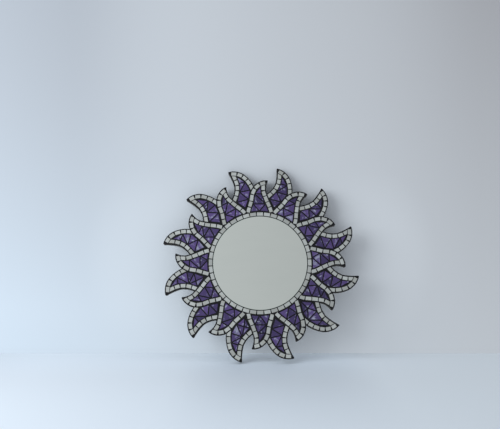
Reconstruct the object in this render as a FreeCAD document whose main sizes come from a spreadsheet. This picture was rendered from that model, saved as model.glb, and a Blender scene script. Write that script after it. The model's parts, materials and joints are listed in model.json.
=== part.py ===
import FreeCAD, Part
import bisect
import cmath
import math
import os
import random
import Sketcher

Vector = FreeCAD.Vector
doc = FreeCAD.newDocument("mosaic_sun_mirror")

# Driving sizes: millimetres, counts, and degrees for angles
SIZES = {
    "ray_pairs": 12,
    "first_tip_angle": 79,
    "long_reach": 200,
    "short_reach": 172,
    "board_thickness": 12,
    "mirror_diameter": 190,
    "mirror_thickness": 3,
    "glue_side": 120,
    "glue_thickness": 0.6,
    "bed_thickness": 0.6,
    "grout_drop": 0.5,
    "tile_thickness": 3,
    "tile_width": 7,
    "tile_length": 11.6,
    "ring_tile_length": 12.9,
    "joint_width": 1.3,
    "glass_edge": 18,
    "glass_joint": 2.2,
    "round_side_margin": 1.8,
    "hollow_side_margin": 2.6,
    "bare_tip": 3.8,
    "tip_blunt": 1.2,
    "hanger_height": 96,
    "recess_width": 34,
    "recess_above": 22,
    "recess_below": 41,
    "recess_depth": 5,
    "recess_corner": 6,
    "strap_width": 12,
    "strap_length": 37,
    "strap_sheet": 0.8,
    "strap_taper": 5,
    "strap_corner": 3,
    "pin_clearance": 0.08,
    "wire_diameter": 2.2,
    "loop_width": 19,
    "loop_foot": 12,
    "loop_height": 14.5,
    "loop_lean": 6.5,
    "screw_first": 19.5,
    "screw_spacing": 11,
    "screw_diameter": 3,
    "screw_hole": 3.4,
    "screw_length": 6,
    "screw_head": 5.6,
    "screw_head_height": 1.7,
    "pilot_extra": 0.5,
}
sheet = doc.addObject("Spreadsheet::Sheet", "Sizes")
for row, (alias, value) in enumerate(SIZES.items(), start=1):
    sheet.set(f"A{row}", alias)
    sheet.set(f"B{row}", str(value))
    sheet.setAlias(f"B{row}", alias)
doc.recompute()


def size(alias):
    return float(sheet.get(alias))


# Sides of the flames from foot to tip: share of the ray's height, and degrees from the
# long tip at twelve pairs. A long ray's hollow side and a short ray's round side are on the left.
LONG_ROUND = [
    (0.2, -17.2), (0.42, -15.8), (0.56, -14.3), (0.71, -11.9), (0.84, -9.1), (0.94, -5.4), (1.0, 0.7)]
LONG_HOLLOW = [
    (0.2, 15.0), (0.36, 7.0), (0.42, 4.6), (0.52, 1.6), (0.66, -0.2), (0.8, -0.2), (1.0, 0.7)]
SHORT_ROUND = [
    (0.0, 27.4), (0.13, 25.6), (0.31, 21.8), (0.55, 19.5), (0.8, 15.8), (0.95, 11.0), (1.0, 5.2)]
SHORT_HOLLOW = [
    (0.0, -5.6), (0.13, -3.6), (0.32, 0.7), (0.52, 4.1), (0.7, 6.1), (0.85, 6.1), (1.0, 5.2)]
SHAPE_PAIRS = 12
# Rays set out by eye: degrees that each pair sits off its even place, clockwise from the top
DRIFT = [0.2, 0.9, 2.3, 2.7, 1.9, -0.2, -0.1, -1.0, -0.3, -0.5, -0.2, -0.4]
# Hand-nipped pieces differ by these shares of their length
TILE_SPREAD = 0.08
GLASS_SPREAD = 0.12
# Fineness of the layout
PATH_POINTS = 61
SIDE_ARCS = 2
SCAN_STEP = 0.5
LEAST_GAP = 0.6
LEAST_SIDE = 0.3
LEAST_TILE = 0.2
LEAST_INRADIUS = 2.2

# Layers, as depths forward of the back of the board, and the radii of the ring
pairs = round(size("ray_pairs"))
pitch = 360 / pairs
width = size("tile_width")
joint = size("joint_width")
bed_back = size("board_thickness")
tile_back = bed_back + size("bed_thickness")
tile_front = tile_back + size("tile_thickness")
bed_front = tile_front - size("grout_drop")
ring_inner = size("mirror_diameter") / 2 + joint
foot = ring_inner + width + joint


# The face is laid out in complex numbers: X is the real part and Z the imaginary part
def polar(radius, degrees):
    return cmath.rect(radius, math.radians(degrees))


def turned(points, degrees):
    return [p * polar(1, degrees) for p in points]


def on_sketch(p):
    return Vector(p.real, p.imag, 0)


def at_depth(p, depth):
    return Vector(p.real, -depth, p.imag)


def trace(shape, reach):
    """Fine path along one side of a ray, from foot to tip"""
    scale = SHAPE_PAIRS / pairs
    knots = [polar(foot + share * (reach - foot), degrees * scale) for share, degrees in shape]
    curve = Part.BSplineCurve()
    curve.interpolate([on_sketch(p) for p in knots])
    return [complex(v.x, v.y) for v in curve.discretize(Number=PATH_POINTS)]


def shifted(path, distance):
    """Path moved sideways, to the left of its direction where distance is positive"""
    moved = []
    for i, p in enumerate(path):
        run = path[min(i + 1, len(path) - 1)] - path[max(i - 1, 0)]
        moved.append(p + 1j * run / abs(run) * distance)
    return moved


def lengths(path):
    total = [0.0]
    for a, b in zip(path, path[1:]):
        total.append(total[-1] + abs(b - a))
    return total


def point_on(path, total, distance):
    """Point and direction at a distance along the path, whose lengths so far are given"""
    i = min(max(bisect.bisect_right(total, distance) - 1, 0), len(path) - 2)
    run = (path[i + 1] - path[i]) / abs(path[i + 1] - path[i])
    return path[i] + run * (distance - total[i]), run


def nearest(path, p):
    """Gap from a point to the path, and the ends of the nearest piece of it"""
    best = None
    for a, b in zip(path, path[1:]):
        run = b - a
        share = min(max(((p - a) * run.conjugate()).real / abs(run) ** 2, 0), 1)
        gap = abs(p - a - share * run)
        if best is None or gap < best[0]:
            best = (gap, a, b)
    return best


def side_of(a, b, p):
    """Distance of a point from the line through a and b, positive on its left"""
    return ((b - a).conjugate() * (p - a)).imag / abs(b - a)


def left_of(path, p):
    gap, a, b = nearest(path, p)
    return math.copysign(gap, side_of(a, b, p))


def crossing(path, other):
    """First point where two paths cross, and its place on each"""
    for i, (a, b) in enumerate(zip(path, path[1:])):
        for k, (c, d) in enumerate(zip(other, other[1:])):
            across = ((b - a).conjugate() * (d - c)).imag
            if across:
                on_path = ((c - a).conjugate() * (d - c)).imag / across
                on_other = ((c - a).conjugate() * (b - a)).imag / across
                if 0 <= on_path < 1 and 0 <= on_other < 1:
                    return a + on_path * (b - a), i, k
    raise ValueError("the sides of two rays do not meet")


def bows(path):
    """Arcs that follow a path, each given by its first, middle and last point"""
    last = 2 * SIDE_ARCS
    knots = [path[round(i * (len(path) - 1) / last)] for i in range(last + 1)]
    return [knots[i:i + 3] for i in range(0, last, 2)]


def blunted(path):
    """Path that stops short of the tip by the blunt length"""
    total = lengths(path)
    stop = total[-1] - size("tip_blunt")
    kept = [p for p, so_far in zip(path, total) if so_far < stop - SCAN_STEP]
    return [*kept, point_on(path, total, stop)[0]]


def stroke(*points, place=on_sketch):
    """Line through two points, or arc through three"""
    placed = [place(p) for p in points]
    return Part.LineSegment(*placed) if len(placed) == 2 else Part.Arc(*placed)


long_round = trace(LONG_ROUND, size("long_reach"))
long_hollow = trace(LONG_HOLLOW, size("long_reach"))
short_round = trace(SHORT_ROUND, size("short_reach"))
short_hollow = trace(SHORT_HOLLOW, size("short_reach"))

# Angles of the long tips, clockwise from the top as seen from the front
tips = [size("first_tip_angle") - k * pitch + DRIFT[k % len(DRIFT)] for k in range(pairs)]
steps = [(tips[k] - tips[(k + 1) % pairs]) % 360 for k in range(pairs)]


# Outline of the sun: arcs up and down each ray with a blunt tip between, ends shared
def pair_outline(step, step_before):
    notch, on_long, _ = crossing(long_round, turned(short_round, -step))
    valley, on_hollow, on_front = crossing(long_hollow, short_hollow)
    far_notch, _, on_short = crossing(turned(long_round, step_before), short_round)
    up_long = [notch, *blunted(long_round[on_long + 1:])]
    down_long = [valley, *blunted(long_hollow[on_hollow + 1:])][::-1]
    up_short = [valley, *blunted(short_hollow[on_front + 1:])]
    down_short = [far_notch, *blunted(short_round[on_short + 1:])][::-1]
    return [
        *bows(up_long),
        [up_long[-1], down_long[0]],
        *bows(down_long),
        *bows(up_short),
        [up_short[-1], down_short[0]],
        *bows(down_short),
    ]


outline = []
for k in reversed(range(pairs)):
    outline += [turned(piece, tips[k]) for piece in pair_outline(steps[k], steps[k - 1])]


# Rows of border tiles: a row runs on while any of its end is clear, and its end tiles are cut
# along what stops them. A stop is a path, and 1 to keep its left side or -1 its right side.
def clear(p, stops):
    return all(keep * left_of(path, p) > 0 for path, keep in stops)


def clear_stretch(centre, stops):
    good = []
    total = lengths(centre)
    for i in range(int((total[-1] - size("bare_tip")) / SCAN_STEP)):
        p, run = point_on(centre, total, i * SCAN_STEP)
        if any(clear(p + side * 1j * run * width / 2, stops) for side in (1, -1)):
            good.append(i * SCAN_STEP)
    return good[0], good[-1]


def lengthened(path):
    """Path run on below its foot by a tile's width"""
    run = path[0] - path[1]
    return [path[0] + width * run / abs(run), *path]


def rectangle(centre, start, end):
    """Straight tile on a curved centre line, no longer than its inner edge allows"""
    total = lengths(centre)
    first, first_run = point_on(centre, total, start)
    last, last_run = point_on(centre, total, end)
    along = (last - first) / abs(last - first)
    half = 1j * along * width / 2
    low = abs((1j * first_run * along.conjugate()).real) * width / 2
    high = abs(last - first) - abs((1j * last_run * along.conjugate()).real) * width / 2
    a, b = first + low * along, first + high * along
    return [a - half, b - half, b + half, a + half]


def trimmed(tile, path, keep):
    """Tile cut along the nearest piece of a path, where keep is 1 for its left side"""
    _, a, b = nearest(path, sum(tile) / len(tile))
    corners = []
    for p, q in zip(tile, tile[1:] + tile[:1]):
        p_side, q_side = keep * side_of(a, b, p), keep * side_of(a, b, q)
        if p_side >= 0:
            corners.append(p)
        if p_side * q_side < 0:
            corners.append(p + (q - p) * p_side / (p_side - q_side))
    return corners


def area(corners):
    return abs(sum((p.conjugate() * q).imag for p, q in zip(corners, corners[1:] + corners[:1]))) / 2


def tile_row(centre, stops, chance):
    start, end = clear_stretch(centre, stops)
    count = max(1, round((end - start + joint) / (size("tile_length") + joint)))
    shares = [chance.uniform(1 - TILE_SPREAD, 1 + TILE_SPREAD) for _ in range(count)]
    unit = (end - start - (count - 1) * joint) / sum(shares)
    tiles = []
    for share in shares:
        tile = rectangle(centre, start, start + unit * share)
        for path, keep in stops:
            tile = tile and trimmed(tile, path, keep)
        tile = [p for p, q in zip(tile, tile[1:] + tile[:1]) if abs(p - q) > LEAST_SIDE]
        if area(tile) > LEAST_TILE * width * size("tile_length"):
            tiles.append(tile)
        start += unit * share + joint
    return tiles


round_margin = size("round_side_margin")
hollow_margin = size("hollow_side_margin")
behind_round = round_margin + width + joint
behind_hollow = hollow_margin + width + joint
foot_sum = math.degrees(cmath.phase(short_hollow[0]) + cmath.phase(short_round[0]))
foot_arc = [polar(foot, degrees * 2) for degrees in range(-45, 46)]


def vee(step):
    """Angle where the rows of two short rays meet at the ring, from the long tip between them"""
    return (foot_sum - step) / 2


def border_rows(ray, step, step_before, chance):
    """Round row, then hollow row, of one ray of a pair whose long tip points along X"""
    if ray == "long":
        into, outer, inner = 1, long_round, long_hollow
    else:
        into, outer, inner = -1, short_round, short_hollow
    hollow_edge = shifted(inner, -into * hollow_margin)
    round_edge = shifted(outer, into * (behind_round + LEAST_GAP))
    if ray == "long":
        round_stops = [(turned(short_round, -step), 1)]
        hollow_stops = [(short_hollow, -1)]
    else:
        left_vee = [0, polar(size("short_reach"), vee(step_before) + step_before)]
        right_vee = [0, polar(size("short_reach"), vee(step))]
        round_stops = [(foot_arc, -1), (shifted(left_vee, -joint / 2), -1)]
        hollow_stops = [(foot_arc, -1), (shifted(right_vee, joint / 2), 1)]
    round_row = lengthened(shifted(outer, into * (round_margin + width / 2)))
    hollow_row = lengthened(shifted(inner, -into * (hollow_margin + width / 2)))
    return (
        tile_row(round_row, [*round_stops, (hollow_edge, -into)], chance)
        + tile_row(hollow_row, [*hollow_stops, (round_edge, into)], chance))


# Glass fill of a ray: a field between two edges, cut into triangles on rising levels
def angle_at(path, radius):
    for a, b in zip(path, path[1:]):
        if (abs(a) - radius) * (abs(b) - radius) <= 0 and abs(a) != abs(b):
            share = (radius - abs(a)) / (abs(b) - abs(a))
            return math.degrees(cmath.phase(a + share * (b - a)))
    return None


def field_edges(lefts, rights, radius):
    left = [a for a in (angle_at(path, radius) for path in lefts) if a is not None]
    right = [a for a in (angle_at(path, radius) for path in rights) if a is not None]
    return (min(left), max(right)) if left and right else (0, 0)


def field_ends(lefts, rights, reach):
    """Lowest and highest radius at which the field is open"""
    count = int((reach - foot) / SCAN_STEP)
    open_radii = []
    for radius in (foot + SCAN_STEP * i for i in range(count)):
        left, right = field_edges(lefts, rights, radius)
        if left > right:
            open_radii.append(radius)
    return open_radii[0] + joint, open_radii[-1]


def field_levels(lefts, rights, reach, chance):
    """Rows of corners across the field, from right to left"""
    low, high = field_ends(lefts, rights, reach)
    edge = size("glass_edge")
    count = max(2, round((high - low) / edge))
    levels = []
    for i in range(count + 1):
        inside = 0 < i < count
        drift = chance.uniform(-GLASS_SPREAD, GLASS_SPREAD) if inside else 0
        radius = low + (high - low) * (i + drift) / count
        left, right = field_edges(lefts, rights, radius)
        spans = max(round(math.radians(left - right) * radius / edge), int(inside))
        shares = [k / spans for k in range(spans + 1)] if spans else [0.5]
        shares = [u + chance.uniform(-GLASS_SPREAD, GLASS_SPREAD) * (0 < u < 1) for u in shares]
        levels.append([polar(radius, right + u * (left - right)) for u in shares])
    return levels


def triangles(levels, chance):
    """Triangles between each level and the next, on the shorter diagonal in most places"""
    pieces = []
    for below, above in zip(levels, levels[1:]):
        i = k = 0
        while i < len(below) - 1 or k < len(above) - 1:
            up_next = abs(below[i] - above[k + 1]) if k < len(above) - 1 else math.inf
            low_next = abs(below[i + 1] - above[k]) if i < len(below) - 1 else math.inf
            if low_next <= up_next * chance.uniform(1 - GLASS_SPREAD, 1 + GLASS_SPREAD):
                pieces.append([below[i], below[i + 1], above[k]])
                i += 1
            else:
                pieces.append([below[i], above[k + 1], above[k]])
                k += 1
    return pieces


def inset_triangle(corners, distance):
    a, b, c = corners
    sides = [abs(b - c), abs(c - a), abs(a - b)]
    centre = sum(s * p for s, p in zip(sides, corners)) / sum(sides)
    inradius = abs(((b - a).conjugate() * (c - a)).imag) / sum(sides)
    if inradius < LEAST_INRADIUS + distance:
        return None
    return [centre + (p - centre) * (1 - distance / inradius) for p in corners]


def apart(one, other):
    """Whether two convex outlines keep at least the least gap"""
    for shape in (one, other):
        for a, b in zip(shape, shape[1:] + shape[:1]):
            mine = [side_of(a, b, p) for p in one]
            theirs = [side_of(a, b, p) for p in other]
            if max(min(theirs) - max(mine), min(mine) - max(theirs)) > LEAST_GAP:
                return True
    return False


def fitted(piece, tiles):
    """Triangle inset for its joints, then nipped down until it clears the border tiles"""
    piece = inset_triangle(piece, size("glass_joint") / 2)
    while piece and not all(apart(piece, tile) for tile in tiles):
        piece = inset_triangle(piece, SCAN_STEP / 2)
    return piece


# Lay out the ring, then the border tiles of every ray, then the glass in every ray
ring_count = round(2 * math.pi * (ring_inner + width / 2) / (size("ring_tile_length") + joint))
ring_half = ring_inner * math.tan(math.pi / ring_count) - joint / 2
ring_tile = [complex(ring_inner + rise, side) for rise, side in (
    (0, -ring_half), (width, -ring_half), (width, ring_half), (0, ring_half))]
layout = {
    "ring_border_tiles": [turned(ring_tile, k * 360 / ring_count) for k in range(ring_count)],
}
for k, tip in enumerate(tips):
    for ray in ("long", "short"):
        chance = random.Random(f"{ray} tiles {k}")
        tiles = border_rows(ray, steps[k], steps[k - 1], chance)
        layout[f"{ray}_ray_{k + 1:02d}_border_tiles"] = [turned(tile, tip) for tile in tiles]

borders = [tile for tiles in layout.values() for tile in tiles]
for k, tip in enumerate(tips):
    fields = {
        "long": (
            [shifted(long_hollow, -behind_hollow), shifted(short_hollow, -joint / 2)],
            [shifted(long_round, behind_round), shifted(turned(short_round, -steps[k]), joint / 2)]),
        "short": ([shifted(short_round, -behind_round)], [shifted(short_hollow, behind_hollow)]),
    }
    for ray, (lefts, rights) in fields.items():
        chance = random.Random(f"{ray} glass {k}")
        levels = field_levels(lefts, rights, size(f"{ray}_reach"), chance)
        pieces = [turned(piece, tip) for piece in triangles(levels, chance)]
        near = [t for t in borders if abs(t[0] - pieces[0][0]) < size("long_reach") / 2]
        pieces = [fitted(piece, near) for piece in pieces]
        layout[f"{ray}_ray_{k + 1:02d}_glass"] = [piece for piece in pieces if piece]

nodes = {}


# Tiles and glass, and the cement bed with a pocket for each of them
def prism(corners, back, front):
    points = [at_depth(p, back) for p in corners]
    face = Part.Face(Part.makePolygon(points + points[:1]))
    return face.extrude(Vector(0, back - front, 0))


def add_feature(name, shape):
    nodes[name] = doc.addObject("Part::Feature", name)
    nodes[name].Shape = shape


for name, pieces in layout.items():
    add_feature(name, Part.makeCompound([prism(p, tile_back, tile_front) for p in pieces]))


def on_bed(p):
    return at_depth(p, bed_back)


rim = [stroke(*piece, place=on_bed).toShape() for piece in outline]
slab = Part.Face(Part.Wire(rim)).extrude(Vector(0, bed_back - bed_front, 0))
opening = Part.makeCylinder(
    size("mirror_diameter") / 2, bed_front - bed_back, Vector(0, -bed_front, 0), Vector(0, 1, 0))
pockets = [prism(p, tile_back, bed_front) for pieces in layout.values() for p in pieces]
add_feature("cement_bed", slab.cut([opening, *pockets]))


# Bodies and their sketches: a sketch on XZ has X to the right and Z up, and pads to the front
def add_body(name):
    nodes[name] = doc.addObject("PartDesign::Body", name)
    return nodes[name]


def origin(body, role):
    return next(f for f in body.Origin.OriginFeatures if f.Role == role)


def add_sketch(body, name, plane, **offsets):
    sketch = body.newObject("Sketcher::SketchObject", name)
    sketch.AttachmentSupport = [(origin(body, plane), "")]
    sketch.MapMode = "FlatFace"
    for axis, expression in offsets.items():
        sketch.setExpression(f"AttachmentOffset.Base.{axis}", expression)
    return sketch


def bind(sketch, expression, *constraint):
    index = sketch.addConstraint(Sketcher.Constraint(*constraint))
    sketch.setExpression(f"Constraints[{index}]", expression)


def add_circle(sketch, diameter, rise):
    """Circle on the sketch's upright axis"""
    circle = sketch.addGeometry(Part.Circle(Vector(0, 1, 0), Vector(0, 0, 1), 1), False)
    sketch.addConstraint(Sketcher.Constraint("PointOnObject", circle, 3, -2))
    bind(sketch, rise, "DistanceY", -1, 1, circle, 3, 1)
    bind(sketch, diameter, "Diameter", circle, 2)


def add_loop(sketch, pieces):
    for piece in pieces:
        sketch.addGeometry(piece, False)


def add_step(body, kind, name, **settings):
    """Feature of a body, where settings that name a size are expressions"""
    step = body.newObject(f"PartDesign::{kind}", name)
    for key, setting in settings.items():
        if isinstance(setting, str) and "Sizes." in setting:
            step.setExpression(key, setting)
        else:
            setattr(step, key, setting)
    doc.recompute()
    return step


def edge_names(step, wanted):
    return [f"Edge{i}" for i, e in enumerate(step.Shape.Edges, start=1) if wanted(e)]


# Backing board, with the hanger's recess and screw holes in its back
board = add_body("backing_board")
sketch = add_sketch(board, "sun_outline", "XZ_Plane")
add_loop(sketch, [stroke(*piece) for piece in outline])
add_step(board, "Pad", "board_sheet", Profile=sketch, Length="Sizes.board_thickness")

sketch = add_sketch(board, "recess_outline", "XZ_Plane")
half, low, high = (
    size("recess_width") / 2,
    size("hanger_height") - size("recess_below"),
    size("hanger_height") + size("recess_above"))
corners = [complex(-half, low), complex(half, low), complex(half, high), complex(-half, high)]
add_loop(sketch, [stroke(a, b) for a, b in zip(corners, corners[1:] + corners[:1])])
for k in range(4):
    sketch.addConstraint(Sketcher.Constraint("Coincident", k, 2, (k + 1) % 4, 1))
sketch.addConstraint(Sketcher.Constraint("Symmetric", 0, 1, 0, 2, -2))
sketch.addConstraint([
    Sketcher.Constraint("Vertical", 1),
    Sketcher.Constraint("Horizontal", 2),
    Sketcher.Constraint("Vertical", 3),
])
bind(sketch, "Sizes.recess_width", "DistanceX", 0, 1, 0, 2, 2 * half)
bind(sketch, "Sizes.recess_above + Sizes.recess_below", "DistanceY", 1, 1, 1, 2, high - low)
bind(sketch, "Sizes.hanger_height - Sizes.recess_below", "DistanceY", -1, 1, 0, 1, low)
recess = add_step(
    board, "Pocket", "hanger_recess", Profile=sketch, Reversed=True, Length="Sizes.recess_depth")


def recess_corner(edge):
    a, b = edge.Vertexes[0].Point, edge.Vertexes[-1].Point
    return abs(abs(a.x) - half) < 1e-6 and abs(a.y - b.y) > 1 and low - 1 < a.z < high + 1


add_step(
    board, "Fillet", "recess_corners", Base=(recess, edge_names(recess, recess_corner)),
    Radius="Sizes.recess_corner")

upper_screw = "Sizes.hanger_height - Sizes.screw_first"
lower_screw = "Sizes.hanger_height - Sizes.screw_first - Sizes.screw_spacing"
sketch = add_sketch(board, "pilot_centres", "XZ_Plane", z="Sizes.recess_depth")
add_circle(sketch, "Sizes.screw_diameter", upper_screw)
add_circle(sketch, "Sizes.screw_diameter", lower_screw)
add_step(
    board, "Pocket", "pilot_holes", Profile=sketch, Reversed=True,
    Length="Sizes.screw_length - 2 * Sizes.strap_sheet + Sizes.pilot_extra")

# Mirror glass, and the glue behind it
mirror = add_body("mirror_glass")
mirror_back = "Sizes.board_thickness + Sizes.glue_thickness"
sketch = add_sketch(mirror, "mirror_outline", "XZ_Plane", z=mirror_back)
sketch.addGeometry(Part.Circle(Vector(0, 0, 0), Vector(0, 0, 1), size("mirror_diameter") / 2), False)
sketch.addConstraint(Sketcher.Constraint("Coincident", 0, 3, -1, 1))
bind(sketch, "Sizes.mirror_diameter", "Diameter", 0, size("mirror_diameter"))
add_step(mirror, "Pad", "mirror_pane", Profile=sketch, Length="Sizes.mirror_thickness")

glue = doc.addObject("Part::Box", "mirror_glue")
glue.setExpression("Length", "Sizes.glue_side")
glue.setExpression("Width", "Sizes.glue_thickness")
glue.setExpression("Height", "Sizes.glue_side")
glue.setExpression("Placement.Base.x", "-Sizes.glue_side / 2")
glue.setExpression("Placement.Base.y", f"-({mirror_back})")
glue.setExpression("Placement.Base.z", "-Sizes.glue_side / 2")
nodes["mirror_glue"] = glue

# Hanger strap: one strip folded round the ring's bar, drawn in height above the recess floor
leaf = size("strap_sheet")
bore = size("wire_diameter") / 2 + size("pin_clearance")
eye = complex(leaf + bore, 0)
fold = bore + leaf
heel = complex(2 * leaf, -size("strap_taper"))
reach = heel - eye
outer_touch = eye + fold * reach / abs(reach) * cmath.exp(-1j * math.acos(fold / abs(reach)))
if outer_touch.real < eye.real:
    outer_touch = eye + fold * reach / abs(reach) * cmath.exp(1j * math.acos(fold / abs(reach)))
inner_touch = eye + bore / fold * (outer_touch - eye)
slope = heel - outer_touch
crotch = inner_touch + slope * (leaf - inner_touch.real) / slope.real
toe = -size("strap_length")
base = complex(-size("recess_depth"), size("hanger_height"))

strap = add_body("hanger_strap")
sketch = add_sketch(strap, "strap_fold", "YZ_Plane")
add_loop(sketch, [
    stroke(base + 1j * toe, base),
    stroke(base, base + eye + 1j * fold, base + outer_touch),
    stroke(base + outer_touch, base + heel),
    stroke(base + heel, base + complex(2 * leaf, toe)),
    stroke(base + complex(2 * leaf, toe), base + 1j * toe),
    stroke(base + leaf, base + eye + 1j * bore, base + inner_touch),
    stroke(base + inner_touch, base + crotch),
    stroke(base + crotch, base + leaf),
])
strip = add_step(
    strap, "Pad", "strap_strip", Profile=sketch, SideType=2, Length="Sizes.strap_width")


def strap_toe(edge):
    a, b = edge.Vertexes[0].Point, edge.Vertexes[-1].Point
    return abs(a.z - base.imag - toe) < 1e-6 and abs(a.y - b.y) > leaf


add_step(
    strap, "Fillet", "strap_corners", Base=(strip, edge_names(strip, strap_toe)),
    Radius="Sizes.strap_corner")
sketch = add_sketch(strap, "strap_hole_centres", "XZ_Plane", z="Sizes.recess_depth")
add_circle(sketch, "Sizes.screw_hole", upper_screw)
add_circle(sketch, "Sizes.screw_hole", lower_screw)
add_step(
    strap, "Pocket", "strap_holes", Profile=sketch, Length="3 * Sizes.strap_sheet")

# Hanger ring: wire bent to a loop that hangs from the strap's fold and leans clear of the strap
ring = add_body("hanger_ring")
bar_height = "Sizes.strap_sheet + Sizes.wire_diameter / 2 + Sizes.pin_clearance"
path = add_sketch(
    ring, "loop_path", "XZ_Plane", y="Sizes.hanger_height",
    z=f"Sizes.recess_depth - ({bar_height})")
path.AttachmentOffset.Rotation = FreeCAD.Rotation(Vector(1, 0, 0), size("loop_lean"))
path.setExpression("AttachmentOffset.Rotation.Angle", "Sizes.loop_lean")
pin, foot_bar, drop = size("loop_width") / 2, size("loop_foot") / 2, 1j * size("loop_height")
corners = [0j, pin, foot_bar - drop, -foot_bar - drop, -pin]
add_loop(path, [stroke(a, b) for a, b in zip(corners, corners[1:] + corners[:1])])
profile = add_sketch(ring, "wire_section", "YZ_Plane", x=f"{bar_height} - Sizes.recess_depth")
add_circle(profile, "Sizes.wire_diameter", "Sizes.hanger_height")
add_step(
    ring, "AdditivePipe", "bent_wire", Profile=profile, Spine=(path, [""]),
    Transition="Right corner")

# Two pan-head screws that hold the strap
screws = add_body("hanger_screws")
screws.AllowCompound = True
seat = 2 * leaf - size("recess_depth")
head, shank, tall = size("screw_head") / 2, size("screw_diameter") / 2, size("screw_head_height")
end = seat - size("screw_length")
sketch = add_sketch(screws, "screw_profile", "YZ_Plane", y=upper_screw)
add_loop(sketch, [
    stroke(seat + tall, complex(seat + tall, head)),
    stroke(complex(seat + tall, head), complex(seat, head)),
    stroke(complex(seat, head), complex(seat, shank)),
    stroke(complex(seat, shank), complex(end, shank)),
    stroke(complex(end, shank), end),
    stroke(end, seat + tall),
])
add_step(
    screws, "Revolution", "screw_blank", Profile=sketch, ReferenceAxis=(sketch, ["H_Axis"]))
second = add_step(
    screws, "LinearPattern", "second_screw", TransformMode=1, Occurrences=2, Reversed=True,
    Direction=(origin(screws, "Z_Axis"), [""]), Length="Sizes.screw_spacing")
screws.Tip = second
doc.recompute()

# Check every object, then write one file per node
for item in doc.Objects:
    if "Invalid" in item.State or "Error" in item.State:
        raise RuntimeError(f"{item.Name} did not build: {item.State}")
os.makedirs("parts", exist_ok=True)
for name, node in nodes.items():
    if node.Shape.isNull() or not node.Shape.isValid() or not node.Shape.Solids:
        raise RuntimeError(f"{name} has no sound solid")
    node.Label = name
    node.Shape.exportStep(f"parts/{name}.step")
    print(name, len(node.Shape.Solids), round(node.Shape.Volume, 1))
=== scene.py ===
# %% [markdown]
# # A mosaic sun mirror
#
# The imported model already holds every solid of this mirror: a sun-shaped board, a bed of black
# cement with a pocket for each tile, the tiles, the glass and the round mirror, and a small
# hanger at the back. Solids have perfectly sharp edges and one flat colour. This lesson gives
# each of them the surface that a hand would feel: nipped rims, ripples, grit, paint and zinc.

# %% Load the solids
import json
import math
import random

import bmesh
import bpy
from mathutils import Matrix, Vector


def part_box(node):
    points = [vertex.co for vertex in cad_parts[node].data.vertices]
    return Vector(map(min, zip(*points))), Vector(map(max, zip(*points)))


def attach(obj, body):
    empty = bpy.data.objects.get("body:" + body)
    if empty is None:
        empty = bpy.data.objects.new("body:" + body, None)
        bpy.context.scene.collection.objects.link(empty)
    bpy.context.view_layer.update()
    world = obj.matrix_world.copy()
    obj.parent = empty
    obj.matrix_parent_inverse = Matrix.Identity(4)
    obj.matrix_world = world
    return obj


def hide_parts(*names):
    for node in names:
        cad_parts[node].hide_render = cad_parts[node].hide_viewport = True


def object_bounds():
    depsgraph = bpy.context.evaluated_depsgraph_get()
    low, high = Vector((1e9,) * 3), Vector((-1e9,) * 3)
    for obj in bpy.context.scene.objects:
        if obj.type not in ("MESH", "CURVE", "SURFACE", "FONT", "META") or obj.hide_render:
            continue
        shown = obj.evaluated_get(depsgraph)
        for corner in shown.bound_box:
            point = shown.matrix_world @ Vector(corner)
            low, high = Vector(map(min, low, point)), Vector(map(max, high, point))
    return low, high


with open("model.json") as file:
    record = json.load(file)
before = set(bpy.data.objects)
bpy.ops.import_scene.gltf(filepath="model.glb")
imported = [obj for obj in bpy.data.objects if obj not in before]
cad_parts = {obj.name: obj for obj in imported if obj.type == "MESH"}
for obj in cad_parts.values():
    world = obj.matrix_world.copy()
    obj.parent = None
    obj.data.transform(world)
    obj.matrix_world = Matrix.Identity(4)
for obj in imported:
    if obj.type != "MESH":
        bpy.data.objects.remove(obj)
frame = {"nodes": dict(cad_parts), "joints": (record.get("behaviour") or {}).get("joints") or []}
solid_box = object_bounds()
nodes = frame["nodes"]
MM = 0.001
solid_sides = [round(side / MM, 1) for side in solid_box[1] - solid_box[0]]
print(len(nodes), "solids, box", solid_sides, "mm")

# %% [markdown]
# ## The camera
#
# In the photograph the sun leans back against a wall, so its top is further away than its foot.
# The solids stay upright, so the lean goes into the camera instead: it stands a little below the
# middle of the sun and looks up along the same angle. How large the sun appears gives the
# distance, and the place of its middle in the picture gives the point to look at.

# %% Place the camera
PICTURE = (500, 429)
SUN_MIDDLE = (260.15, 262.45)
FOCAL_PIXELS = 650
SCALE_AT_SUN = 2.0125 * MM
LEAN = math.radians(12.4)
SENSOR = 36

front = solid_box[0].y
right = Vector((1, 0, 0))
up = Vector((0, -math.sin(LEAN), math.cos(LEAN)))
toward = right.cross(up)

aside = (PICTURE[0] / 2 - SUN_MIDDLE[0]) * SCALE_AT_SUN
above = (SUN_MIDDLE[1] - PICTURE[1] / 2) * SCALE_AT_SUN
aim = Vector((0, front, 0)) + right * aside + up * above
camera = bpy.data.objects.new("camera", bpy.data.cameras.new("camera"))
camera.data.sensor_width = SENSOR
camera.data.lens = SENSOR * FOCAL_PIXELS / PICTURE[0]
camera.matrix_world = Matrix.Translation(aim + toward * FOCAL_PIXELS * SCALE_AT_SUN) @ Matrix(
    (right, up, toward)).transposed().to_4x4()
bpy.context.scene.collection.objects.link(camera)
bpy.context.scene.camera = camera
print("camera at", [round(c, 3) for c in camera.matrix_world.translation], "m")

# %% [markdown]
# ## Writing finishes as sums
#
# A finish is a small sum: so much base colour, plus so much speckle, minus a little gloss where
# an edge is worn. Wiring that by hand takes many nodes. The class `Value` wraps one output of a
# node, so that `0.2 + 0.3 * speckle` adds the Math nodes by itself, and `Wiring.node` makes
# every other kind of node from its type, its settings and its sockets. Sockets go by name, or by
# number where a node has several of one name, as a Mix node has for its colours.

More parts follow.
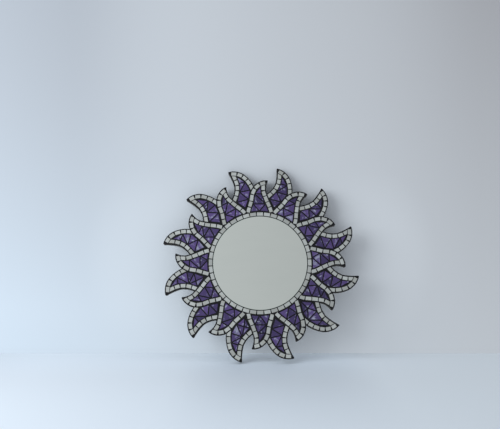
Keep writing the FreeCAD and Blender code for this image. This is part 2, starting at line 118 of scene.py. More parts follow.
# %% Shader helpers
MIX_SHARE, MIX_FIRST, MIX_SECOND, MIX_RESULT = 0, 6, 7, 2


class Value:
    """One output of a shader node, which can be added, scaled and raised like a number"""

    def __init__(self, wiring, socket):
        self.wiring, self.socket = wiring, socket

    def reckon(self, operation, first, second):
        return self.wiring.node("ShaderNodeMath", {"operation": operation}, {0: first, 1: second})

    def __add__(self, other):
        return self.reckon("ADD", self, other)

    def __sub__(self, other):
        return self.reckon("SUBTRACT", self, other)

    def __rsub__(self, other):
        return self.reckon("SUBTRACT", other, self)

    def __mul__(self, other):
        return self.reckon("MULTIPLY", self, other)

    def __pow__(self, other):
        return self.reckon("POWER", self, other)

    def at_most(self, limit):
        return self.reckon("MINIMUM", self, limit)

    __radd__ = __add__
    __rmul__ = __mul__


class Wiring:
    """The node tree of one finish"""

    def __init__(self, tree):
        self.tree = tree

    def node(self, kind, settings=None, sockets=None, output=0):
        made = self.tree.nodes.new(kind)
        for key, setting in (settings or {}).items():
            setattr(made, key, setting)
        self.join(made, sockets or {})
        return Value(self, made.outputs[output])

    def join(self, made, sockets):
        for key, value in sockets.items():
            if isinstance(value, Value):
                self.tree.links.new(value.socket, made.inputs[key])
            else:
                made.inputs[key].default_value = value

    def mix(self, share, first, second):
        return self.node("ShaderNodeMix", {"data_type": "RGBA"}, {
            MIX_SHARE: share, MIX_FIRST: first, MIX_SECOND: second}, output=MIX_RESULT)

    def noise(self, place, scale, detail=3.0, roughness=0.5):
        return self.node("ShaderNodeTexNoise", {}, {
            "Vector": place, "Scale": scale, "Detail": detail, "Roughness": roughness})

    def step(self, value, low, high):
        """0 below low, 1 above high, and a smooth rise between them"""
        return self.node("ShaderNodeMapRange", {"interpolation_type": "SMOOTHSTEP"}, {
            "Value": value, "From Min": low, "From Max": high})

    def attribute(self, name):
        return self.node("ShaderNodeAttribute", {"attribute_name": name}, output="Fac")

    def spot(self):
        """Place on the object, in metres"""
        return self.node("ShaderNodeTexCoord", output="Object")

    def cut(self):
        """Place on the sheet that a piece was cut from, in millimetres"""
        return self.node("ShaderNodeUVMap", {"uv_map": "cut"})

    def stretched(self, place, scale):
        return self.node("ShaderNodeMapping", {}, {"Vector": place, "Scale": scale})

    def along(self, place, direction):
        """How far a place lies along a direction"""
        return self.node("ShaderNodeVectorMath", {"operation": "DOT_PRODUCT"}, {
            0: place, 1: direction}, output="Value")

    def sideways(self, place):
        return self.node("ShaderNodeSeparateXYZ", {}, {"Vector": place}, output="X")

    def bump(self, height, depth):
        return self.node("ShaderNodeBump", {}, {"Distance": depth, "Height": height})

    def rays(self, *kinds):
        """1 for rays of these kinds and 0 for all others"""
        flags = [self.node("ShaderNodeLightPath", output=f"Is {kind} Ray") for kind in kinds]
        return sum(flags[1:], flags[0])


def finish(name):
    """New material, its wiring and its main shader"""
    material = bpy.data.materials.new(name)
    material.use_nodes = True
    return material, Wiring(material.node_tree), material.node_tree.nodes["Principled BSDF"]


def paint(red, green, blue):
    return (red, green, blue, 1)


print("shader helpers ready")

# %% [markdown]
# ## From a solid to a piece
#
# A solid arrives as loose triangles. A copy of it is merged and its flat faces are made whole
# again, so that an edge is one edge and can be bevelled. A Bevel modifier could round every edge
# at once, but here single edges are chosen, so the bevel is made in the mesh. The finished copy
# then stands for the solid and rides on the same body.

# %% Copy and dress a solid
MERGE = 0.001 * MM
FLAT = math.radians(1)
SHARP = math.radians(35)
LEVEL = 0.999


def merged(node):
    """Copy of a solid, with its triangles joined into whole faces"""
    bm = bmesh.new()
    bm.from_mesh(nodes[node].data)
    bmesh.ops.remove_doubles(bm, verts=bm.verts, dist=MERGE)
    bmesh.ops.dissolve_limit(bm, angle_limit=FLAT, verts=bm.verts, edges=bm.edges)
    return bm


def rounded(bm, edges, width, segments=2):
    """Round some edges over, and give back the new faces"""
    return bmesh.ops.bevel(
        bm, geom=edges, offset=width, offset_type="OFFSET", segments=segments, profile=0.5,
        affect="EDGES", material=-1, clamp_overlap=True)["faces"]


def dress(bm, node, body, *materials, smooth=False):
    """Make a mesh the visible piece that stands for a solid"""
    mesh = bpy.data.meshes.new(f"{node}_finished")
    bm.to_mesh(mesh)
    bm.free()
    for material in materials:
        mesh.materials.append(material)
    if smooth:
        mesh.shade_smooth()
        mesh.set_sharp_from_angle(angle=SHARP)
        for face in mesh.polygons:
            face.use_smooth = abs(face.normal.y) < LEVEL
    piece = bpy.data.objects.new(mesh.name, mesh)
    bpy.context.scene.collection.objects.link(piece)
    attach(piece, body)
    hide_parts(node)
    return piece


# %% [markdown]
# ## Tile and glass pieces
#
# Every piece was nipped by hand and pressed into wet cement, so no two lie quite level and no rim
# is quite straight. Each top face is tipped by a small random slope and its rim is cut into short
# lengths that wander inwards, never outwards, because the pocket in the cement fits the solid.
# A bevel then breaks the arris. Each piece also keeps a random `tint`, and a map of its own,
# `cut`, in millimetres: turned and shifted at random, like a piece cut anywhere from a sheet.

# %% Nipped pieces
RAG_CUTS = 3
FACES_FRONT = -0.9
SHEET = 500


def islands(bm):
    """Faces of each separate piece of a mesh"""
    seen = set()
    for start in bm.faces:
        if start in seen:
            continue
        seen.add(start)
        group, waiting = [], [start]
        while waiting:
            face = waiting.pop()
            group.append(face)
            for near in (other for edge in face.edges for other in edge.link_faces):
                if near not in seen:
                    seen.add(near)
                    waiting.append(near)
        yield group


def tip_and_nip(top, chance, slope, ragged):
    """Tip a top face into its pocket by a random slope, and draw its rim in a little"""
    centre = top.calc_center_median()
    turn = chance.uniform(0, 2 * math.pi)
    fall = Vector((math.cos(turn), 0, math.sin(turn))) * chance.uniform(0, slope)
    drops = [fall.dot(corner.co - centre) for corner in top.verts]
    for corner, drop in zip(top.verts, drops):
        corner.co += (centre - corner.co).normalized() * chance.uniform(0, ragged)
        corner.co.y += drop - min(drops)


def nipped(node, slope, ragged, arris):
    """All pieces of one solid, tipped, nipped and mapped, with their arrises broken"""
    chance = random.Random(node)
    bm = merged(node)
    tint = bm.faces.layers.float.new("tint")
    nip = bm.faces.layers.float.new("nip")
    cut = bm.loops.layers.uv.new("cut")
    tops = [face for face in bm.faces if face.normal.y < FACES_FRONT]
    bmesh.ops.bisect_edges(bm, edges=[e for top in tops for e in top.edges], cuts=RAG_CUTS)
    for top in tops:
        tip_and_nip(top, chance, slope, ragged)
    for face in rounded(bm, [e for top in tops for e in top.edges], arris):
        face[nip] = 1
    for group in islands(bm):
        share, shift = chance.random(), chance.uniform(0, SHEET)
        turn = Matrix.Rotation(chance.uniform(0, 2 * math.pi), 2)
        for face in group:
            face[tint] = share
            for loop in face.loops:
                place = turn @ Vector((loop.vert.co.x, loop.vert.co.z)) / MM
                loop[cut].uv = place + Vector((shift, shift))
    return bm


print("pieces are nipped from", sum(name.endswith(("tiles", "_glass")) for name in nodes), "solids")

# %% [markdown]
# ### Cream tiles
#
# The border tiles are small glazed rectangles. Under the glaze the clay is not even, so each
# tile has a slightly different cream, with faint clouds and a few pin specks. The glaze is satin,
# and where a rim was nipped the clay is bare, duller and holds some black from the cement. Noise
# on each tile's own map makes all of this, so that no two tiles are alike.

# %% Glaze
TILE_SLOPE = 0.02
TILE_RAGGED = 0.12 * MM
TILE_ARRIS = 0.2 * MM


def cream_glaze():
    material, wires, surface = finish("cream_glaze")
    grey_cream, pale_cream = paint(0.345, 0.36, 0.355), paint(0.48, 0.505, 0.5)
    cloud, speck, soil = paint(0.36, 0.35, 0.3), paint(0.2, 0.17, 0.13), paint(0.15, 0.145, 0.14)
    place = wires.cut()
    clouds = wires.noise(place, 0.16, detail=4)
    specks = wires.step(wires.noise(place, 2.2, detail=1), 0.66, 0.74)
    nip = wires.attribute("nip")
    soiled = nip * wires.step(wires.noise(place, 0.9), 0.4, 0.75)
    cream = wires.mix(wires.attribute("tint"), grey_cream, pale_cream)
    cream = wires.mix(0.5 * wires.step(clouds, 0.42, 0.7), cream, cloud)
    cream = wires.mix(0.5 * specks, cream, speck)
    cream = wires.mix(0.1 * nip + 0.45 * soiled, cream, soil)
    wires.join(surface, {
        "Base Color": cream,
        "Roughness": 0.24 + 0.18 * clouds + 0.3 * nip,
        "Normal": wires.bump(wires.noise(place, 0.35) + 0.3 * specks, 0.12 * MM),
        "Coat Weight": 0.3,
        "Coat Roughness": 0.12,
    })
    return material


glaze = cream_glaze()
tile_nodes = sorted(name for name in nodes if name.endswith("_border_tiles"))
for node in tile_nodes:
    dress(nipped(node, TILE_SLOPE, TILE_RAGGED, TILE_ARRIS), node, "sun", glaze)
print(len(tile_nodes), "rows of cream tiles")

# %% [markdown]
# ### Purple glass
#
# The triangles are cut from wispy art glass: deep violet with pale lilac smoke drawn through it
# in one direction, and a rippled face with a thin lustre. About one piece in ten comes from a
# smokier part of the sheet. The pale smoke and the smokier pieces are partly the glass's own
# colour and partly painted sheen, and small pale spots on the glass are painted glints. The smoke
# is noise stretched along the piece's own map, so its direction changes from piece to piece as it
# does in an offcut pile. The glass could be made see-through, but on black cement it only looks
# dark, so a dark colour under a gloss does as well. Ripples go into a bump, and the lustre is a
# thin film under a light clear coat.

# %% Glass
GLASS_SLOPE = 0.02
GLASS_RAGGED = 0.2 * MM
GLASS_ARRIS = 0.22 * MM
GLASS_IOR = 1.52
LUSTRE_FILM = 105
LUSTRE_IOR = 1.36


def purple_glass():
    material, wires, surface = finish("purple_glass")
    deep, bright = paint(0.03, 0.025, 0.065), paint(0.122, 0.08, 0.24)
    haze, lilac = paint(0.3, 0.315, 0.41), paint(0.4, 0.41, 0.54)
    painted_glint, chipped = paint(0.55, 0.53, 0.68), paint(0.012, 0.006, 0.03)
    place = wires.cut()
    smoke = wires.noise(wires.stretched(place, (0.07, 0.14, 1)), 1, detail=4, roughness=0.6)
    # Painted sheen in part: the pale wisps, and the smoky pieces below, are partly smoke in the
    # glass and partly painted sheen.
    wisps_and_sheen = wires.step(smoke, 0.54, 0.7)
    # Painted glints: small pale spots on the glass.
    painted_glint_spots = wires.step(wires.noise(place, 0.42, detail=2), 0.67, 0.76)
    depth = wires.noise(place, 0.09, detail=2)
    tint = wires.attribute("tint")
    nip = wires.attribute("nip")
    smoky_and_sheen = wires.step(smoke, 0.4, 0.6) * wires.step(tint, 0.88, 0.93)
    violet = wires.mix(0.75 * tint + 0.25 * depth, deep, bright)
    violet = wires.mix(0.75 * smoky_and_sheen, violet, haze)
    violet = wires.mix(0.88 * wisps_and_sheen, violet, lilac)
    violet = wires.mix(0.55 * painted_glint_spots, violet, painted_glint)
    violet = wires.mix(0.4 * nip, violet, chipped)
    ripples = wires.noise(place, 0.14, detail=2) + 0.25 * wires.noise(place, 0.6, detail=1)
    wires.join(surface, {
        "Base Color": violet,
        "Roughness": 0.1 + 0.12 * smoke + 0.15 * nip,
        "Normal": wires.bump(ripples, 0.9 * MM),
        "IOR": GLASS_IOR,
        "Coat Weight": 0.1,
        "Coat Roughness": 0.04,
        "Thin Film Thickness": LUSTRE_FILM,
        "Thin Film IOR": LUSTRE_IOR,
    })
    return material


glass = purple_glass()
glass_nodes = sorted(name for name in nodes if "_ray_" in name and name.endswith("_glass"))
for node in glass_nodes:
    dress(nipped(node, GLASS_SLOPE, GLASS_RAGGED, GLASS_ARRIS), node, "sun", glass)
print(len(glass_nodes), "rays filled with glass")

# %% [markdown]
# ## Cement bed and backing board
#
# The black cement was trowelled over the board and wiped from the tiles, so it is gritty and its
# rim is rounded by the wiping. The board under it is sawn and brushed with black paint: streaked
# on the flat, thinner on the corners, where a little brown shows through. Both copies have the
# edges along the sun's rim rounded, and the board also those of the recess that was routed in its
# back for the hanger. The pockets stay sharp, because the tiles fill them. Grit and brush marks
# are too fine to model, so they go into a bump.

# %% Cement and paint
RIM_RADIUS = 100 * MM
CEMENT_ROUND = 0.9 * MM
BOARD_ROUND = 1.0 * MM
RECESS_ROUND = 0.5 * MM


def black_cement():
    material, wires, surface = finish("black_cement")
    place = wires.spot()
    grit = wires.noise(place, 1400, detail=4, roughness=0.65)
    patches = wires.noise(place, 90, detail=3)
    dust = wires.step(wires.noise(place, 2600, detail=2), 0.62, 0.78)
    black = wires.mix(patches, paint(0.004, 0.004, 0.005), paint(0.016, 0.0165, 0.019))
    black = wires.mix(0.2 * dust, black, paint(0.08, 0.08, 0.085))
    wires.join(surface, {
        "Base Color": black,
        "Roughness": 0.78 + 0.2 * grit,
        "Specular IOR Level": 0.2,
        "Normal": wires.bump(grit + 0.6 * patches, 0.35 * MM),
    })
    return material


def black_paint():
    material, wires, surface = finish("black_paint")
    place = wires.spot()
    stipple = wires.noise(place, 700, detail=3)
    coats = wires.noise(place, 30, detail=4)
    strokes = wires.noise(wires.stretched(place, (18, 60, 420)), 1, detail=3)
    rubbed = wires.attribute("worn") * wires.step(wires.noise(place, 240, detail=4), 0.52, 0.7)
    black = wires.mix(coats, paint(0.01, 0.01, 0.011), paint(0.032, 0.032, 0.034))
    black = wires.mix(0.55 * rubbed, black, paint(0.13, 0.09, 0.055))
    wires.join(surface, {
        "Base Color": black,
        "Roughness": 0.36 + 0.2 * coats + 0.2 * strokes + 0.15 * rubbed,
        "Specular IOR Level": 0.35,
        "Normal": wires.bump(0.5 * stipple + strokes, 0.2 * MM),
    })
    return material


def lies_at(edge, height):
    return all(abs(end.co.y - height) < MERGE for end in edge.verts)


def reaches(face, height):
    return any(abs(corner.co.y - height) < MERGE for corner in face.verts)


def borders_side(edge, far_height):
    return any(reaches(face, far_height) for face in edge.link_faces)


def rim_edges(bm, height, far_height):
    """Edges of the sun's outline at one height, whose side runs on to another height"""
    return [
        edge for edge in bm.edges
        if lies_at(edge, height) and edge.calc_face_angle(0) > SHARP
        and all(math.hypot(end.co.x, end.co.z) > RIM_RADIUS for end in edge.verts)
        and borders_side(edge, far_height)]


bed_back, bed_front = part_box("cement_bed")[1].y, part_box("cement_bed")[0].y
bm = merged("cement_bed")
rim = rim_edges(bm, bed_front, bed_back)
rounded(bm, rim, CEMENT_ROUND, segments=3)
dress(bm, "cement_bed", "sun", black_cement(), smooth=True)
print("cement bed with", len(rim), "rim edges rounded")

bm = merged("backing_board")
worn = bm.faces.layers.float.new("worn")
rim = rim_edges(bm, 0, bed_back)
for face in rounded(bm, rim, BOARD_ROUND, segments=3):
    face[worn] = 1
recess_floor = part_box("hanger_strap")[0].y
lip = [edge for edge in bm.edges if lies_at(edge, 0) and borders_side(edge, recess_floor)]
for face in rounded(bm, lip, RECESS_ROUND):
    face[worn] = 1
dress(bm, "backing_board", "sun", black_paint(), smooth=True)
print("backing board with", len(rim), "rim edges and", len(lip), "recess edges rounded")

# %% [markdown]
# ## Mirror
#
# The mirror is a silvered pane with a ground and polished arris. A real pane is clear glass over
# silver. From the front that looks like a metal with almost no roughness, so one metal surface
# stands for both. A pane also carries a breath of dust and faint wipe marks, which show in the
# roughness far more than in the colour. The arris is bare glass, so it gets a finish of its own.

# %% Mirror pane
MIRROR_ARRIS = 0.5 * MM


def silver():
    material, wires, surface = finish("silvered_glass")
    place = wires.spot()
    wipes = wires.noise(wires.stretched(place, (14, 14, 60)), 1, detail=4)
    dust = wires.step(wires.noise(place, 900, detail=2), 0.7, 0.8)
    wires.join(surface, {
        "Base Color": wires.mix(wipes, paint(0.8, 0.83, 0.82), paint(0.84, 0.865, 0.855)),
        "Metallic": 1.0,
        "Roughness": 0.012 + 0.02 * wires.step(wipes, 0.45, 0.8) + 0.06 * dust,
    })
    return material


def polished_edge():
    material, wires, surface = finish("polished_edge")
    bands = wires.noise(wires.spot(), 400, detail=2)
    wires.join(surface, {
        "Base Color": wires.mix(bands, paint(0.16, 0.22, 0.2), paint(0.24, 0.3, 0.28)),
        "Roughness": 0.08 + 0.1 * bands,
        "IOR": GLASS_IOR,
        "Coat Weight": 0.5,
    })
    return material


def adhesive():
    material, wires, surface = finish("adhesive")
    lumps = wires.noise(wires.spot(), 220, detail=3)
    wires.join(surface, {
        "Base Color": wires.mix(lumps, paint(0.5, 0.47, 0.4), paint(0.62, 0.6, 0.54)),
        "Roughness": 0.6 + 0.2 * lumps,
        "Normal": wires.bump(lumps, 0.4 * MM),
    })
    return material


bm = merged("mirror_glass")
front_rim = [
    edge for edge in bm.edges if lies_at(edge, front) and edge.calc_face_angle(0) > SHARP]
for face in rounded(bm, front_rim, MIRROR_ARRIS):
    face.material_index = 1
dress(bm, "mirror_glass", "sun", silver(), polished_edge(), smooth=True)
nodes["mirror_glue"].data.materials.clear()
nodes["mirror_glue"].data.materials.append(adhesive())
print("mirror pane with", len(front_rim), "arris edges")

# %% [markdown]
# ## Hanger
#
# The hanger is zinc-plated steel: a strip folded round the bar of a wire ring, and two screws.
# Plating is a metal with a cloudy bloom and fine scuffs. The strip is the solid with its sheared
# edges broken.

# %% Zinc strap
STRIP_EDGE = 0.15 * MM


def zinc_plate():
    material, wires, surface = finish("zinc_plate")
    dull, bright, painted_recess_shade_colour = paint(0.48, 0.5, 0.515), paint(0.67, 0.67, 0.645), paint(0.05, 0.05, 0.05)
    place = wires.spot()
    bloom = wires.noise(place, 260, detail=4)
    scuffs = wires.noise(wires.stretched(place, (300, 300, 2600)), 1, detail=3)
    grey = wires.mix(wires.step(bloom, 0.35, 0.65), dull, bright)
    # Painted shade: faces in the screws' cross recess are darkened nearly to black.
    grey = wires.mix(0.85 * wires.attribute("recess_shade"), grey, painted_recess_shade_colour)
    wires.join(surface, {
        "Base Color": grey,
        "Metallic": 1.0,
        "Roughness": 0.2 + 0.2 * bloom + 0.16 * scuffs,
        "Normal": wires.bump(scuffs, 0.04 * MM),
    })
    return material


zinc = zinc_plate()
bm = merged("hanger_strap")
sheared = [edge for edge in bm.edges if edge.calc_face_angle(0) > SHARP]
rounded(bm, sheared, STRIP_EDGE)
dress(bm, "hanger_strap", "sun", zinc, smooth=True)
print("strap with", len(sheared), "edges broken")

# %% [markdown]
# ### Wire ring
#
# The solid's ring has mitred corners. A curve with a round section could replace it, but here it
# is bent as a wire bender would do it: run straight, turn round a former, run straight again,
# until the ends meet. A spin makes each turn and an extrusion each run, so the bends are true
# arcs and the wire closes on itself.

# %% Bent wire ring
WIRE = 2.2 * MM
BAR = 19 * MM
FOOT = 12 * MM
DROP = 14.5 * MM
RING_LEAN = math.radians(6.5)
FORMER = 2.4 * MM
WIRE_SIDES = 20
TURN_STEPS = 8

pivot = Vector(frame["joints"][0]["pos_m"])
down = Vector((0, math.sin(RING_LEAN), -math.cos(RING_LEAN)))
flat = right.cross(down)
corners = [
    pivot + right * BAR / 2,
    pivot + right * FOOT / 2 + down * DROP,
    pivot - right * FOOT / 2 + down * DROP,
    pivot - right * BAR / 2,
]


def only(geometry, kind):
    return [item for item in geometry if isinstance(item, kind)]


def pulled(bm, edges, step):
    """Pull edges along a step, and give back the edges at its end"""
    made = bmesh.ops.extrude_edge_only(bm, edges=edges)["geom"]
    bmesh.ops.translate(bm, verts=only(made, bmesh.types.BMVert), vec=step)
    return only(made, bmesh.types.BMEdge)


def turned(bm, edges, centre, angle):
    """Turn edges round the former, and give back the edges at the end of the turn"""
    made = bmesh.ops.spin(
        bm, geom=edges, cent=centre, axis=flat, angle=angle, steps=TURN_STEPS)["geom_last"]
    return only(made, bmesh.types.BMEdge)


bm = bmesh.new()
bmesh.ops.create_circle(
    bm, segments=WIRE_SIDES, radius=WIRE / 2,
    matrix=Matrix.Translation(pivot) @ Matrix.Rotation(math.pi / 2, 4, "Y"))
end, here, heading = list(bm.edges), pivot, right
for corner, following in zip(corners, corners[1:] + [pivot]):
    leaving = (following - corner).normalized()
    angle = heading.angle(leaving)
    back_off = FORMER * math.tan(angle / 2)
    bend_start = corner - heading * back_off
    end = pulled(bm, end, bend_start - here)
    end = turned(bm, end, bend_start + flat.cross(heading) * FORMER, angle)
    here, heading = corner + leaving * back_off, leaving
pulled(bm, end, pivot - here)
bmesh.ops.remove_doubles(bm, verts=bm.verts, dist=MERGE)
bmesh.ops.recalc_face_normals(bm, faces=bm.faces)
print("ring of", len(bm.faces), "faces, open edges:", sum(edge.is_boundary for edge in bm.edges))
dress(bm, "hanger_ring", "ring", zinc, smooth=True)

# %% [markdown]
# ### Screws
#
# The screws are turned: half of the section is a short chain of vertices, and a full spin makes
# the head and shank. The cross in the head could be cut with a Boolean. Slicing the flat top with
# planes and sinking the faces that form the cross leaves cleaner faces, and these keep a value
# that darkens the zinc there, as painted shade in the recess.

# %% Pan-head screws
HEAD_FLAT = 0.62
HEAD_SHOULDER = 0.9
HEAD_SHOULDER_DROP = 0.2
HEAD_RISE = 0.55
HEAD_HEIGHT = 1.7 * MM
SHANK = 3 * MM
SCREW_STEPS = 28
CROSS_LENGTH = 3.2 * MM
CROSS_WIDTH = 0.8 * MM
CROSS_DEPTH = 0.9 * MM
CROSS_TURNS = (0.4, 1.1)


def turned_screw(low, high):
    """Screw along the Y axis, from its point at low to the top of its head at high"""
    bm = bmesh.new()
    radius = (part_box("hanger_screws")[1].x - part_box("hanger_screws")[0].x) / 2
    seat = high - HEAD_HEIGHT
    section = [
        (0, high),
        (HEAD_FLAT * radius, high),
        (HEAD_SHOULDER * radius, high - HEAD_SHOULDER_DROP * HEAD_HEIGHT),
        (radius, seat + HEAD_RISE * HEAD_HEIGHT),
        (radius, seat),
        (SHANK / 2, seat),
        (SHANK / 2, low + SHANK / 2),
        (0, low),
    ]
    chain = [bm.verts.new((out, along, 0)) for out, along in section]
    for pair in zip(chain, chain[1:]):
        bm.edges.new(pair)
    bmesh.ops.spin(
        bm, geom=bm.verts[:] + bm.edges[:], cent=(0, 0, 0), axis=(0, 1, 0), angle=2 * math.pi,
        steps=SCREW_STEPS, use_merge=True)
    bmesh.ops.remove_doubles(bm, verts=bm.verts, dist=MERGE)
    bmesh.ops.recalc_face_normals(bm, faces=bm.faces)
    return bm


def flat_top(bm, high):
    return [face for face in bm.faces if reaches(face, high) and face.normal.y > LEVEL]


def sink_cross(bm, high):
    long_half, wide_half = CROSS_LENGTH / 2, CROSS_WIDTH / 2
    bmesh.ops.dissolve_faces(bm, faces=flat_top(bm, high))
    for axis in (Vector((1, 0, 0)), Vector((0, 0, 1))):
        for offset in (-long_half, -wide_half, wide_half, long_half):
            around = {
                item for face in flat_top(bm, high) for item in (face, *face.edges, *face.verts)}
            bmesh.ops.bisect_plane(
                bm, geom=sorted(around, key=lambda item: (type(item).__name__, item.index)),
                plane_co=axis * offset + Vector((0, high, 0)), plane_no=axis)
    cross = []
    for face in flat_top(bm, high):
        centre = face.calc_center_median()
        near, far = sorted((abs(centre.x), abs(centre.z)))
        if near < wide_half and far < long_half:
            cross.append(face)
    sunk = bmesh.ops.extrude_face_region(bm, geom=cross)["geom"]
    bmesh.ops.translate(bm, verts=only(sunk, bmesh.types.BMVert), vec=(0, -CROSS_DEPTH, 0))
    bmesh.ops.delete(bm, geom=cross, context="FACES")
    # Painted shade: faces sunk into the cross are marked to be darkened in the zinc finish.
    recess_shade = bm.faces.layers.float.new("recess_shade")
    for face in bm.faces:
        centre = face.calc_center_median()
        below_top = MERGE < high - centre.y < CROSS_DEPTH + MERGE
        face[recess_shade] = below_top and math.hypot(centre.x, centre.z) < long_half


low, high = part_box("hanger_screws")
head_radius = (high.x - low.x) / 2
screws = bmesh.new()
for height, turn in zip((low.z + head_radius, high.z - head_radius), CROSS_TURNS):
    screw = turned_screw(low.y, high.y)
    sink_cross(screw, high.y)
    bmesh.ops.transform(
        screw, verts=screw.verts,
        matrix=Matrix.Translation((0, 0, height)) @ Matrix.Rotation(turn, 4, "Y"))
    mesh = bpy.data.meshes.new("one_screw")
    screw.to_mesh(mesh)
    screw.free()
    screws.from_mesh(mesh)
    bpy.data.meshes.remove(mesh)
print("two screws of", len(screws.faces), "faces together")
dress(screws, "hanger_screws", "sun", zinc, smooth=True)

# %% [markdown]
# ## Floor and wall
#
# The sun stands on the tips of its lowest rays and leans on the wall with its back. One sheet
# makes both: an edge is pulled along the floor to the corner, and from there up the wall and on
# behind it. Both are matt, the floor a little less so. Light and shade are painted into the
# sheet's colour: a painted shadow on the floor where the sun stands, painted shade on the floor
# close to the window, and painted light on the floor along the foot of the wall. The wall gets a
# painted fall-off that darkens it upwards, painted light towards its middle, at its foot right of
# the sun and on the two sides of the sun, and painted shade at its foot on the left. These broad
# shades are mixed by place on the sheet, because one soft lamp alone would leave it plainer than a
# real corner. The sheet throws no light or shadow on the mirror, and from behind the wall is clear,
# so that the back of the mirror can be looked at.

# %% Stage
STAGE_HALF_WIDTH = 4
FLOOR_LENGTH = 5
WALL_HEIGHT = 4
CORNER = 0.1 * MM

behind = -toward
corners_of_board = [vertex.co for vertex in nodes["backing_board"].data.vertices]
floor_level = min(corner.dot(up) for corner in corners_of_board)
wall_place = max(corner.dot(behind) for corner in corners_of_board)


def floor_shades(wires, across, rightward, depth):
    # Painted light and shade on the floor: a painted shadow where the sun stands, painted light
    # along the wall, and painted shade towards the window on the left.
    near_sun = wires.step((across - 0.035) ** 2, 0.04, 0)
    painted_sun_shadow = near_sun * wires.step(depth, 0.6, 0.15) * wires.step(depth, 0, 0.1)
    painted_glow_along_wall = (0.36 - 0.34 * rightward + 0.5 * near_sun) * wires.step(depth, 0.25, 0)
    painted_shade_near_window = wires.step(across, -0.4, -0.9)
    shade = wires.mix(rightward, paint(0.72, 0.79, 0.885), paint(0.79, 0.85, 0.915))
    shade = wires.mix(painted_glow_along_wall, shade, paint(0.86, 0.99, 1.14))
    shade = wires.mix(0.6 * painted_shade_near_window, shade, paint(0.33, 0.37, 0.42))
    return wires.mix(0.38 * painted_sun_shadow, shade, paint(0.45, 0.5, 0.58))


def wall_shades(wires, across, rightward, height):
    # Painted light and shade on the wall: a painted fall-off that is darker upwards, painted light
    # towards the middle, at the foot right of the sun and beside the sun, and painted shade at the
    # left foot.
    pale = paint(1, 1.05, 1.1)
    low_down = wires.node("ShaderNodeMapRange", {}, {
        "Value": height, "From Min": 0.75, "From Max": 0.02})
    middle = wires.step((across - 0.04) ** 2, 0.2, 0) * (0.24 - 0.13 * low_down)
    foot = wires.step(height, 0.11, 0)
    painted_shade_left_foot = (0.1 - 0.1 * rightward) * foot
    painted_light_right_foot = wires.step((across - 0.16) ** 2, 0.014, 0) * foot
    painted_light_beside_sun = wires.step(5 * (across ** 2 - 0.052) ** 2 + (height - 0.2) ** 2, 0.04, 0)
    left_wall = wires.mix(low_down ** 2, paint(0.4, 0.43, 0.48), paint(0.72, 0.82, 0.93))
    right_wall = wires.mix(low_down, paint(0.54, 0.54, 0.565), paint(0.75, 0.775, 0.81))
    shade = wires.mix(rightward, left_wall, right_wall)
    shade = wires.mix(middle, shade, pale)
    shade = wires.mix(painted_shade_left_foot, shade, paint(0.3, 0.34, 0.39))
    shade = wires.mix(0.25 * painted_light_right_foot, shade, pale)
    return wires.mix(painted_light_beside_sun * (0.08 + 0.13 * rightward), shade, pale)


def pale_sheet():
    material, wires, surface = finish("pale_sheet")
    place = wires.spot()
    across = wires.sideways(place)
    rightward = wires.step(across, -0.7, 0.7)
    height = wires.along(place, up) - floor_level
    depth = wall_place - wires.along(place, behind)
    floor = floor_shades(wires, across, rightward, depth)
    wall = wall_shades(wires, across, rightward, height)
    on_wall = wires.step(height, 0, CORNER)
    wires.join(surface, {
        "Base Color": wires.mix(on_wall, floor, wall),
        "Roughness": 0.55 + 0.25 * on_wall,
        "Specular IOR Level": 0.12,
    })
    clear = wires.node("ShaderNodeBsdfTransparent")
    backs = wires.node("ShaderNodeNewGeometry", output="Backfacing")
    unseen = backs + wires.rays("Shadow", "Diffuse", "Glossy")
    mixed = wires.node("ShaderNodeMixShader", {}, {
        0: unseen.at_most(1), 1: Value(wires, surface.outputs["BSDF"]), 2: clear})
    wires.join(material.node_tree.nodes["Material Output"], {"Surface": mixed})
    return material


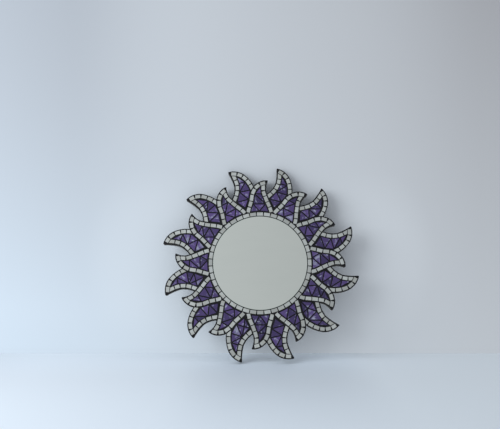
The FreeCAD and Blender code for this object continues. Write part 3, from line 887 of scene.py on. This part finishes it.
bm = bmesh.new()
near_middle = up * floor_level + behind * (wall_place - FLOOR_LENGTH)
ends = [bm.verts.new(near_middle + right * side) for side in (-STAGE_HALF_WIDTH, STAGE_HALF_WIDTH)]
corner = pulled(bm, [bm.edges.new(ends)], behind * FLOOR_LENGTH)
pulled(bm, corner, up * WALL_HEIGHT)
pulled(bm, corner, behind * FLOOR_LENGTH)
bm.normal_update()
bmesh.ops.reverse_faces(bm, faces=[face for face in bm.faces if face.normal.dot(up + toward) < 0])
mesh = bpy.data.meshes.new("pale_sheet")
bm.to_mesh(mesh)
bm.free()
mesh.materials.append(pale_sheet())
sheet = bpy.data.objects.new("pale_sheet", mesh)
bpy.context.scene.collection.objects.link(sheet)
print("floor at", round(floor_level / MM, 1), "mm and wall at", round(wall_place / MM, 1), "mm")

# %% [markdown]
# ## Light
#
# The photograph was lit by a window on the left and a pale room. The window is one large soft
# lamp, and the room is the world. All that is glossy, the mirror most of all, sees the room as a
# soft grey that pales towards the window's side, while the light that the room sends out is even.
# Together they are set so that a colour renders about as it is written.

# %% Window and room
WINDOW_SIZE = (1.0, 0.9)
WINDOW_PLACE = Vector((-0.95, -0.8, 0.3))
WINDOW_POWER = 10.5
WINDOW_COLOUR = (0.94, 0.985, 1.0)
ROOM_STRENGTH = 0.56
ROOM_LIGHT = paint(0.94, 0.985, 1.03)
ROOM_RIGHT = paint(0.395, 0.412, 0.407)
ROOM_LEFT = paint(0.625, 0.66, 0.655)

window = bpy.data.objects.new("window", bpy.data.lights.new("window", "AREA"))
window.data.shape = "RECTANGLE"
window.data.size, window.data.size_y = WINDOW_SIZE
window.data.energy = WINDOW_POWER
window.data.color = WINDOW_COLOUR
window.location = WINDOW_PLACE
window.rotation_euler = (-WINDOW_PLACE).to_track_quat("-Z", "Y").to_euler()
bpy.context.scene.collection.objects.link(window)

world = bpy.data.worlds.new("room")
world.use_nodes = True
bpy.context.scene.world = world
room = Wiring(world.node_tree)
shown = room.rays("Camera", "Glossy", "Transmission").at_most(1)
direction = room.node("ShaderNodeTexCoord", output="Generated")
leftward = room.step(room.sideways(direction), 0.42, -0.35)
colour = room.mix(shown, ROOM_LIGHT, room.mix(leftward, ROOM_RIGHT, ROOM_LEFT))
strength = ROOM_STRENGTH + (1 - ROOM_STRENGTH) * shown
room.join(world.node_tree.nodes["Background"], {"Color": colour, "Strength": strength})
bpy.context.scene.view_settings.view_transform = "Standard"
print("lit by a window of", WINDOW_POWER, "W and a room of", ROOM_STRENGTH)
